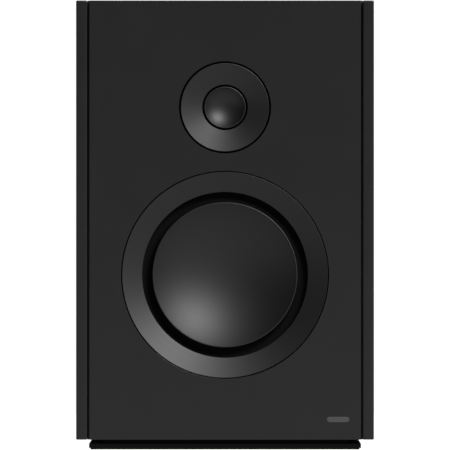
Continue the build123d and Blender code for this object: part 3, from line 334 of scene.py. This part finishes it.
paint = coated("satin_paint", BLACK, 0.434, grain=1100.0, relief=0.002)
# Painted shade: the plinth gets a darker, less glossy copy of the satin paint, standing in for the
# shadow under the cabinet's overhang
plinth_painted_shade = coated("plinth_painted_shade", (0.0005, 0.0005, 0.0005), 0.46, specular=0.11)
badge_finish = coated("badge_satin", (0.045, 0.045, 0.046), 0.42, grain=1800.0, relief=0.003)
roll_rubber = coated("roll_rubber", (0.0042, 0.0042, 0.0042), 0.5, specular=0.01, grain=900.0)
rubber = coated("soft_rubber", (0.002, 0.002, 0.002), 0.55, specular=0.4, grain=700.0, relief=0.006)
black_plastic = coated("moulded_plastic", (0.02, 0.02, 0.021), 0.5, grain=900.0, relief=0.012)
port_plastic = coated("port_plastic", (0.014, 0.014, 0.0145), 0.42, grain=1200.0, relief=0.006)

ring_metal = turned_metal("ring_anodised", BLACK, 0.545, woofer_middle.z)
cone_metal = turned_metal("cone_anodised", BLACK, 0.537, woofer_middle.z)
plate_metal = turned_metal("plate_anodised", BLACK, 0.516, tweeter_middle.z)
dome_metal = turned_metal("dome_anodised", BLACK, 0.514, tweeter_middle.z)

raw_board = fibrous("raw_fibreboard", (0.3, 0.21, 0.13), (0.42, 0.31, 0.2), 600.0, 0.05, sheen=0.0)
wadding = fibrous("polyester_wadding", (0.5, 0.5, 0.48), (0.82, 0.82, 0.8), 420.0, 1.2)
spider_cloth = fibrous("spider_cloth", (0.3, 0.18, 0.06), (0.5, 0.33, 0.14), 900.0, 0.08)
plated_steel = coated("zinc_plate", (0.55, 0.56, 0.57), 0.32, metallic=1.0, relief=0.004)
nickel = coated("nickel_plate", (0.66, 0.64, 0.6), 0.16, metallic=1.0, relief=0.001)
oxide_steel = coated("black_oxide", (0.05, 0.05, 0.05), 0.38, metallic=1.0)
ferrite = coated("ferrite", (0.06, 0.06, 0.062), 0.62, grain=500.0, relief=0.03)
cast_paint = coated("cast_paint", (0.02, 0.02, 0.02), 0.5, grain=420.0, relief=0.03)
gold = coated("gold_plate", (0.93, 0.67, 0.28), 0.2, metallic=1.0, relief=0.001)
copper = coated("enamelled_copper", (0.68, 0.27, 0.12), 0.3, metallic=1.0, coat=0.4)
laminate = coated("board_laminate", (0.02, 0.1, 0.035), 0.35, grain=500.0, relief=0.01)
film_sleeve = coated("capacitor_sleeve", (0.55, 0.3, 0.04), 0.3)
cement = coated("resistor_cement", (0.72, 0.71, 0.66), 0.8, grain=900.0, relief=0.05)
wire_sleeve = coated("wire_sleeve", (0.03, 0.03, 0.031), 0.45, grain=1500.0, relief=0.004)
red_plastic = coated("red_plastic", (0.42, 0.012, 0.012), 0.28, grain=1600.0, relief=0.003, coat=0.3)
knob_plastic = coated("black_knob_plastic", (0.012, 0.012, 0.012), 0.28, relief=0.003, coat=0.3)

NODE_MATERIALS = {
    paint: "top_panel bottom_panel left_wall right_wall rear_panel",
    plinth_painted_shade: "plinth",
    rubber: "plinth_mat woofer_gasket",
    wire_sleeve: "input_wires woofer_wires tweeter_wires",
    raw_board: "window_brace",
    plated_steel: "plinth_screws woofer_top_plate woofer_back_plate tweeter_top_plate "
    "tweeter_back_plate post_nuts crossover_standoffs crossover_screws",
    nickel: "tweeter_magnet",
    oxide_steel: "woofer_screws tweeter_screws terminal_screws",
    ferrite: "woofer_magnet",
    cast_paint: "woofer_basket",
    gold: "woofer_terminals tweeter_terminals red_post black_post red_washer black_washer solder_tags",
    copper: "woofer_voice_coil tweeter_voice_coil bass_coil treble_coil",
    laminate: "crossover_board",
    film_sleeve: "capacitors",
    cement: "resistors",
    black_plastic: "terminal_cup side_panel_spacers post_insulators",
    badge_finish: "badge_bar",
    red_plastic: "red_knob",
    knob_plastic: "black_knob",
}
for mat, names in NODE_MATERIALS.items():
    for node in names.split():
        paint_node(node, mat)


# ---------------------------------------------------------------- how a piece joins the frame
def join_frame(piece, node, body="cabinet"):
    """The piece stands for a CAD node, and rides on a body."""
    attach(piece, body)
    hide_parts(node)


def join_frame_radially(piece, node):
    """The piece stands for a ring between the cabinet and a body that moves in it; it keeps its place
    and rides on no body.
    """
    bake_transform(piece)
    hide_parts(node)


# ---------------------------------------------------------------- cabinet
HOLE_BEVEL = 0.25 * MM
BAFFLE_EDGE = 0.5 * MM
PANEL_EDGE = 0.8 * MM
CUT_PAST = 1.0 * MM
RING_GAP = 0.5 * MM
FLANGE_GAP = 0.4 * MM
PLATE_GAP = 1.05 * MM
WOOFER_HOLE = 59.2 * MM
TWEETER_HOLE = 24.5 * MM


def driver_cutter(name, steps_of, centre):
    """A stepped round cutter, from (radius, back depth) steps, with a bevelled mouth."""
    mouth = steps_of[0][0]
    points = [(0, -CUT_PAST), (mouth + HOLE_BEVEL + CUT_PAST, -CUT_PAST), (mouth, HOLE_BEVEL)]
    for index, (radius, back) in enumerate(steps_of):
        if index:
            points.append((radius, steps_of[index - 1][1]))
        points.append((radius, back))
    points.append((0, steps_of[-1][1]))
    return lathe(name, points, centre, paint)


def slot_cutter(name, low, high):
    """A flat bar with round ends, that cuts its own seat."""
    half_tall = (high[2] - low[2]) / 2
    centre_z = (high[2] + low[2]) / 2
    bm = bmesh.new()
    rim = []
    for end_x, start in ((high[0] - half_tall, -90), (low[0] + half_tall, 90)):
        rim += arc((end_x, centre_z), half_tall, start, start + 180, 12)
    front = [bm.verts.new((x, FRONT - CUT_PAST, z)) for x, z in rim]
    back = [bm.verts.new((x, high[1], z)) for x, z in rim]
    bm.faces.new(front)
    bm.faces.new(back)
    for index in range(len(rim)):
        after = (index + 1) % len(rim)
        bm.faces.new((front[index], front[after], back[after], back[index]))
    return finish_mesh(name, bm, paint)


def build_baffle():
    """The front board, with both drivers' stepped seats and the bar's slot."""
    board = rounded_board("front_baffle_board", "front_baffle", BAFFLE_EDGE, paint)
    past_back = depths("front_baffle")[1] + CUT_PAST
    woofer_steps = [
        (radius_of("woofer_trim_ring") + RING_GAP, depths("woofer_trim_ring")[1]),
        (radius_of("woofer_basket") + FLANGE_GAP, depths("woofer_gasket")[1]),
        (WOOFER_HOLE, past_back),
    ]
    tweeter_steps = [
        (radius_of("tweeter_faceplate") + PLATE_GAP, depths("tweeter_faceplate")[1]),
        (TWEETER_HOLE, past_back),
    ]
    cutters = [
        driver_cutter("woofer_cutter", woofer_steps, woofer_middle),
        driver_cutter("tweeter_cutter", tweeter_steps, tweeter_middle),
        slot_cutter("bar_cutter", *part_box("badge_bar")),
    ]
    cut(board, cutters)
    join_frame(board, "front_baffle")


def build_side_panels():
    """The outer side panels, with rounded edges."""
    for side in ("left", "right"):
        node = side + "_side_panel"
        panel = rounded_board(side + "_panel_board", node, PANEL_EDGE, paint)
        join_frame(panel, node)


build_baffle()
build_side_panels()


# ---------------------------------------------------------------- drivers
RING_ROLL = 0.45 * MM
RING_LIP = 0.3 * MM
CONE_LIP = 2.2 * MM
COIL_WALL = 0.4 * MM
WOOFER_ROLL_GAP = 0.4 * MM
WOOFER_ROLL_OUTER = 56.1 * MM
TWEETER_ROLL_GAP = 0.15 * MM
TWEETER_ROLL_OUTER = 15.7 * MM
SCREW_CHANNEL = (WOOFER_HOLE, 66.4 * MM, 6.2 * MM)


def bead(inner, outer, depth, rise, steps=10):
    """A rounded edge between two radii, standing forward of a depth."""
    points = []
    for step in range(steps + 1):
        angle = math.pi * step / steps
        radius = inner + (outer - inner) * (1 - math.cos(angle)) / 2
        points.append((radius, depth - rise * math.sin(angle)))
    return points


def bowl(centre_depth, curve_radius, inner, outer, steps):
    """A shallow spherical bowl, from one radius to another."""
    radii = [inner + (outer - inner) * step / steps for step in range(steps + 1)]
    return [(radius, centre_depth + math.sqrt(curve_radius**2 - radius**2)) for radius in radii]


def build_funnel(name, node, centre, mat, channel=None):
    """A driver's conical front ring, with a rolled outer edge and lip and a channel behind."""
    outer = radius_of(node)
    front, back = depths(node)
    inner, drop = inner_edge(node, centre)
    slope = math.atan2(drop, outer - RING_ROLL - inner)
    lean = math.degrees(slope)
    points = arc((outer - RING_ROLL, front + RING_ROLL), RING_ROLL, 0, lean - 90, 8)
    lip_depth = drop + RING_LIP * (math.tan(slope) + 0.25)
    points += arc((inner + RING_LIP, lip_depth), RING_LIP, -90 - lean, -180, 6)
    points.append((inner, back))
    if channel:
        start, end, floor = channel
        points += [(start, back), (start, floor), (end, floor), (end, back)]
    points.append((outer, back))
    join_frame(lathe(name, points, centre, mat), node)


def skirt_back(node, centre):
    """How deep a cone's outer skirt reaches."""
    outer = radius_of(node)
    return max(depth for radius, depth in section(node, centre) if radius > outer - 0.02 * MM)


def build_dish(name, node, centre, mat, body, bead_width, bead_rise, curve, wall, shelf):
    """A bowl-shaped cone or dome, with a beaded rim and a skirt down to its shelf."""
    outer = radius_of(node)
    rim = depths(node)[0] + bead_rise
    edge = outer - bead_width
    centre_depth = rim - math.sqrt(curve**2 - edge**2)
    back = skirt_back(node, centre)
    points = bowl(centre_depth, curve, 0, edge, 48)
    points += bead(edge, outer, rim, bead_rise)[1:]
    points += [(outer, back), (shelf, back)]
    points += bowl(centre_depth, curve + wall, shelf, 0, 24)
    join_frame(lathe(name, points, centre, mat), node, body)


def build_half_roll(name, node, centre, lip, roll_inner, roll_outer, wall):
    """A rubber surround: a flat lip, an inverted half roll, and a flat edge that is glued down."""
    outer = radius_of(node)
    front = depths(node)[0]
    back = front + wall
    middle_radius = (roll_inner + roll_outer) / 2
    face = arc((middle_radius, front), (roll_outer - roll_inner) / 2, 180, 0, 24)
    underside = [(radius, depth + wall) for radius, depth in reversed(face)]
    underside[0] = (roll_outer + 0.7 * wall, back)
    underside[-1] = (roll_inner - 0.7 * wall, back)
    points = [(lip, front), *face, (outer, front), (outer, back), *underside, (lip, back)]
    roll = lathe(name, points, centre, roll_rubber)
    join_frame_radially(roll, node)


build_funnel(
    "woofer_ring", "woofer_trim_ring", woofer_middle, ring_metal, SCREW_CHANNEL
)
build_funnel("tweeter_plate", "tweeter_faceplate", tweeter_middle, plate_metal)

cone_outer = radius_of("woofer_cone")
dome_outer = radius_of("tweeter_dome")
build_dish(
    "woofer_cone_dish",
    "woofer_cone",
    woofer_middle,
    cone_metal,
    "woofer_moving",
    bead_width=1.0 * MM,
    bead_rise=0.45 * MM,
    curve=77.0 * MM,
    wall=0.8 * MM,
    shelf=cone_outer - CONE_LIP,
)
build_dish(
    "tweeter_dome_dish",
    "tweeter_dome",
    tweeter_middle,
    dome_metal,
    "tweeter_moving",
    bead_width=0.85 * MM,
    bead_rise=0.35 * MM,
    curve=18.5 * MM,
    wall=0.35 * MM,
    shelf=inner_edge("tweeter_voice_coil", tweeter_middle)[0] - COIL_WALL,
)
build_half_roll(
    "woofer_roll",
    "woofer_surround",
    woofer_middle,
    lip=cone_outer - CONE_LIP,
    roll_inner=cone_outer + WOOFER_ROLL_GAP,
    roll_outer=WOOFER_ROLL_OUTER,
    wall=0.5 * MM,
)
build_half_roll(
    "tweeter_roll",
    "tweeter_surround",
    tweeter_middle,
    lip=inner_edge("tweeter_surround", tweeter_middle)[0],
    roll_inner=dome_outer + TWEETER_ROLL_GAP,
    roll_outer=TWEETER_ROLL_OUTER,
    wall=0.3 * MM,
)


SPIDER_WAVES = 6
SPIDER_WAVE_STEPS = 12
SPIDER_WAVE_END = 39.0 * MM
SPIDER_WAVE_HEIGHT = 1.1 * MM
SPIDER_WALL = 0.4 * MM


def build_spider():
    """The corrugated cloth disc that centres the voice coil."""
    node = "woofer_spider"
    inner = inner_edge(node, woofer_middle)[0]
    outer = radius_of(node)
    rim = [depth for radius, depth in section(node, woofer_middle) if radius > outer - 0.02 * MM]
    flat = min(rim)
    steps = SPIDER_WAVES * SPIDER_WAVE_STEPS
    front = []
    for step in range(steps + 1):
        radius = inner + (SPIDER_WAVE_END - inner) * step / steps
        swing = SPIDER_WAVE_HEIGHT * math.sin(math.pi * step / SPIDER_WAVE_STEPS)
        front.append((radius, flat - swing))
    front.append((outer, flat))
    back = [(radius, depth + SPIDER_WALL) for radius, depth in reversed(front)]
    disc = lathe("spider_disc", front + back, woofer_middle, spider_cloth, 128)
    join_frame_radially(
        disc, node
    )


def build_leads():
    """The loose leads from the terminals to the voice coil; the real leads flex as the cone moves,
    this copy keeps one shape.
    """
    node = "woofer_leads"
    leads = bpy.data.objects.new("tinsel_leads", NODES[node].data.copy())
    bpy.context.scene.collection.objects.link(leads)
    leads.data.materials.clear()
    leads.data.materials.append(copper)
    join_frame_radially(
        leads, node
    )


build_spider()
build_leads()


# ---------------------------------------------------------------- rear port and damping
PORT_FLARE = 16.0 * MM
PORT_WALL = 2.5 * MM
PORT_FLANGE = 3.0 * MM
PORT_NECK = 9.0 * MM
PORT_SHOULDER = 7.5 * MM
PORT_EDGE = 0.6 * MM
STAPLES = [(y, z) for y in (-0.5, 0.5) for z in (-0.66, 0.0, 0.66)]
STAPLE_REACH = 9.0 * MM
PAD_FLUFF_SCALE = 160.0


def build_port():
    """The flared port, with a rounded flange."""
    node = "port_tube"
    front, back = depths(node)
    outer = radius_of(node)
    bore = inner_edge(node, port_middle)[0]
    tube = bore + PORT_WALL
    collar = tube + PORT_SHOULDER
    points = arc((bore + PORT_FLARE, back - PORT_FLARE), PORT_FLARE, 90, 180, 24)
    points += [(bore, front), (tube, front), (tube, back - PORT_NECK - PORT_SHOULDER)]
    points += [(collar, back - PORT_NECK), (collar, back - PORT_FLANGE)]
    points.append((outer, back - PORT_FLANGE))
    points += arc((outer - PORT_EDGE, back - PORT_EDGE), PORT_EDGE, 0, 90, 5)
    join_frame(lathe("port_flared", points, port_middle, port_plastic), node)


def staple_dimple(y, z, half):
    """How deep the staples press a pad at a point, from 0 to 1 under a staple."""
    dimple = 0.0
    for staple_y, staple_z in STAPLES:
        reach = (y - staple_y) ** 2 * half.y**2 + (z - staple_z) ** 2 * half.z**2
        dimple += math.exp(-reach / STAPLE_REACH**2)
    return dimple


def build_pad(side):
    """A soft pad of wadding that lies against a side wall, crowned and dimpled by its staples."""
    node = side + "_damping_pad"
    low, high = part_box(node)
    centre, half = (low + high) / 2, (high - low) / 2
    towards_wall = math.copysign(1.0, centre.x)
    bm = bmesh.new()
    bmesh.ops.create_cube(bm, size=2.0)
    bmesh.ops.subdivide_edges(bm, edges=bm.edges[:], cuts=31, use_grid_fill=True)
    for vertex in bm.verts:
        x, y, z = vertex.co
        crown = (1 - abs(y) ** 5) * (1 - abs(z) ** 6)
        dimple = staple_dimple(y, z, half)
        fluff = noise.noise(Vector((y * half.y, x * half.x, z * half.z)) * PAD_FLUFF_SCALE)
        off_the_wall = x * towards_wall < 0.999
        if off_the_wall:
            thick = (x * towards_wall - 1) * (0.42 + 0.5 * crown - 0.3 * dimple + 0.05 * fluff)
            x = towards_wall * (1 + thick)
        pinch = 0.985 - 0.02 * (1 - y * y) * z * z - 0.012 * abs(fluff)
        squeeze = 0.985 - 0.03 * (1 - z * z) * y * y - 0.012 * abs(fluff)
        vertex.co = centre + Vector((x * half.x, y * squeeze * half.y, z * pinch * half.z))
    bmesh.ops.smooth_vert(bm, verts=bm.verts, factor=0.5, use_axis_y=True, use_axis_z=True)
    pad = finish_mesh(side + "_wadding", bm, wadding, 60.0)
    join_frame(pad, node)


build_port()
for side in ("left", "right"):
    build_pad(side)


# ---------------------------------------------------------------- camera, light, floor
VIEW_DISTANCE = 8.0
FRAME_WIDTH = 0.3021
SENSOR_WIDTH = 36.0
CLIP_END = 100.0
KEY_SIDE = math.radians(55.0)
KEY_OFF_AXIS = math.radians(54.0)
KEY_DISTANCE = 12.0
KEY_HALF_ANGLE = math.radians(16.3)
KEY_RADIANCE = 20.4
BACK_DIRECTION = (0.9, 0.75, 0.9)
BACK_DISTANCE = 2.2
BACK_SIZE = 1.3
BACK_RADIANCE = 7.0
FLOOR_RADIUS = 1.4
FLOOR_GLOW = 0.58
SEEN_WHITE = 1.05
WORLD_GLOW = 0.02
view_target = Vector((0.0, FRONT, (cad_box[0][2] + TOP) / 2))


def add_facing(name, data, place):
    """Puts a camera or a lamp at a place, aimed at the middle of the speaker's front."""
    obj = bpy.data.objects.new(name, data)
    bpy.context.scene.collection.objects.link(obj)
    obj.location = place
    obj.rotation_euler = (view_target - place).to_track_quat("-Z", "Y").to_euler()
    return obj


def build_camera():
    """The photograph's view: straight ahead, from far away."""
    camera = bpy.data.cameras.new("camera")
    camera.sensor_width = SENSOR_WIDTH
    camera.lens = SENSOR_WIDTH * VIEW_DISTANCE / FRAME_WIDTH
    camera.clip_end = CLIP_END
    place = view_target + Vector((0, -VIEW_DISTANCE, 0))
    bpy.context.scene.camera = add_facing("camera", camera, place)


def build_lamp(name, direction, distance, size, radiance):
    """A round area lamp that the camera doesn't see."""
    light = bpy.data.lights.new(name, "AREA")
    light.shape = "DISK"
    light.size = size
    light.energy = radiance * math.pi * math.pi * (size / 2) ** 2
    place = view_target + Vector(direction).normalized() * distance
    add_facing(name, light, place).visible_camera = False


def build_floor():
    """A pale round floor that glows like a light table, and looks white to the camera."""
    bm = bmesh.new()
    bmesh.ops.create_circle(bm, cap_ends=True, segments=96, radius=FLOOR_RADIUS)
    mat, nodes, links, shader = node_tree("studio_floor")
    shader.inputs["Roughness"].default_value = 0.9
    shader.inputs["Specular IOR Level"].default_value = 0.0
    shader.inputs["Emission Color"].default_value = (1, 1, 1, 1)
    path = nodes.new("ShaderNodeLightPath")
    glow = nodes.new("ShaderNodeMapRange")
    glow.inputs["To Min"].default_value = FLOOR_GLOW
    glow.inputs["To Max"].default_value = SEEN_WHITE
    links.new(path.outputs["Is Camera Ray"], glow.inputs["Value"])
    links.new(glow.outputs["Result"], shader.inputs["Emission Strength"])
    tone = noise_node(nodes, links, 2.0, 3.0)
    paper = blend_colours(nodes, links, tone, (0.1, 0.1, 0.1), (0.11, 0.11, 0.11))
    links.new(paper, shader.inputs["Base Color"])
    finish_mesh("studio_floor", bm, mat)


def build_world():
    """A white backdrop that the lighting sees as nearly dark."""
    world = bpy.data.worlds.new("studio")
    bpy.context.scene.world = world
    world.use_nodes = True
    nodes, links = world.node_tree.nodes, world.node_tree.links
    seen = nodes["Background"]
    seen.inputs["Color"].default_value = (1, 1, 1, 1)
    seen.inputs["Strength"].default_value = SEEN_WHITE
    lighting = nodes.new("ShaderNodeBackground")
    lighting.inputs["Color"].default_value = (1, 1, 1, 1)
    lighting.inputs["Strength"].default_value = WORLD_GLOW
    path = nodes.new("ShaderNodeLightPath")
    mix = nodes.new("ShaderNodeMixShader")
    links.new(path.outputs["Is Camera Ray"], mix.inputs["Fac"])
    links.new(lighting.outputs["Background"], mix.inputs[1])
    links.new(seen.outputs["Background"], mix.inputs[2])
    links.new(mix.outputs["Shader"], nodes["World Output"].inputs["Surface"])


def build_studio():
    """The floor, the backdrop, a key lamp high on the right and two lamps behind."""
    build_floor()
    build_world()
    key_size = 2 * KEY_DISTANCE * math.tan(KEY_HALF_ANGLE)
    key_direction = (
        math.sin(KEY_OFF_AXIS) * math.cos(KEY_SIDE),
        -math.cos(KEY_OFF_AXIS),
        math.sin(KEY_OFF_AXIS) * math.sin(KEY_SIDE),
    )
    build_lamp("key", key_direction, KEY_DISTANCE, key_size, KEY_RADIANCE)
    across, back, up = BACK_DIRECTION
    for side in (-1, 1):
        build_lamp("back", (across * side, back, up), BACK_DISTANCE, BACK_SIZE, BACK_RADIANCE)
    bpy.context.scene.view_settings.view_transform = "Standard"


build_camera()
build_studio()
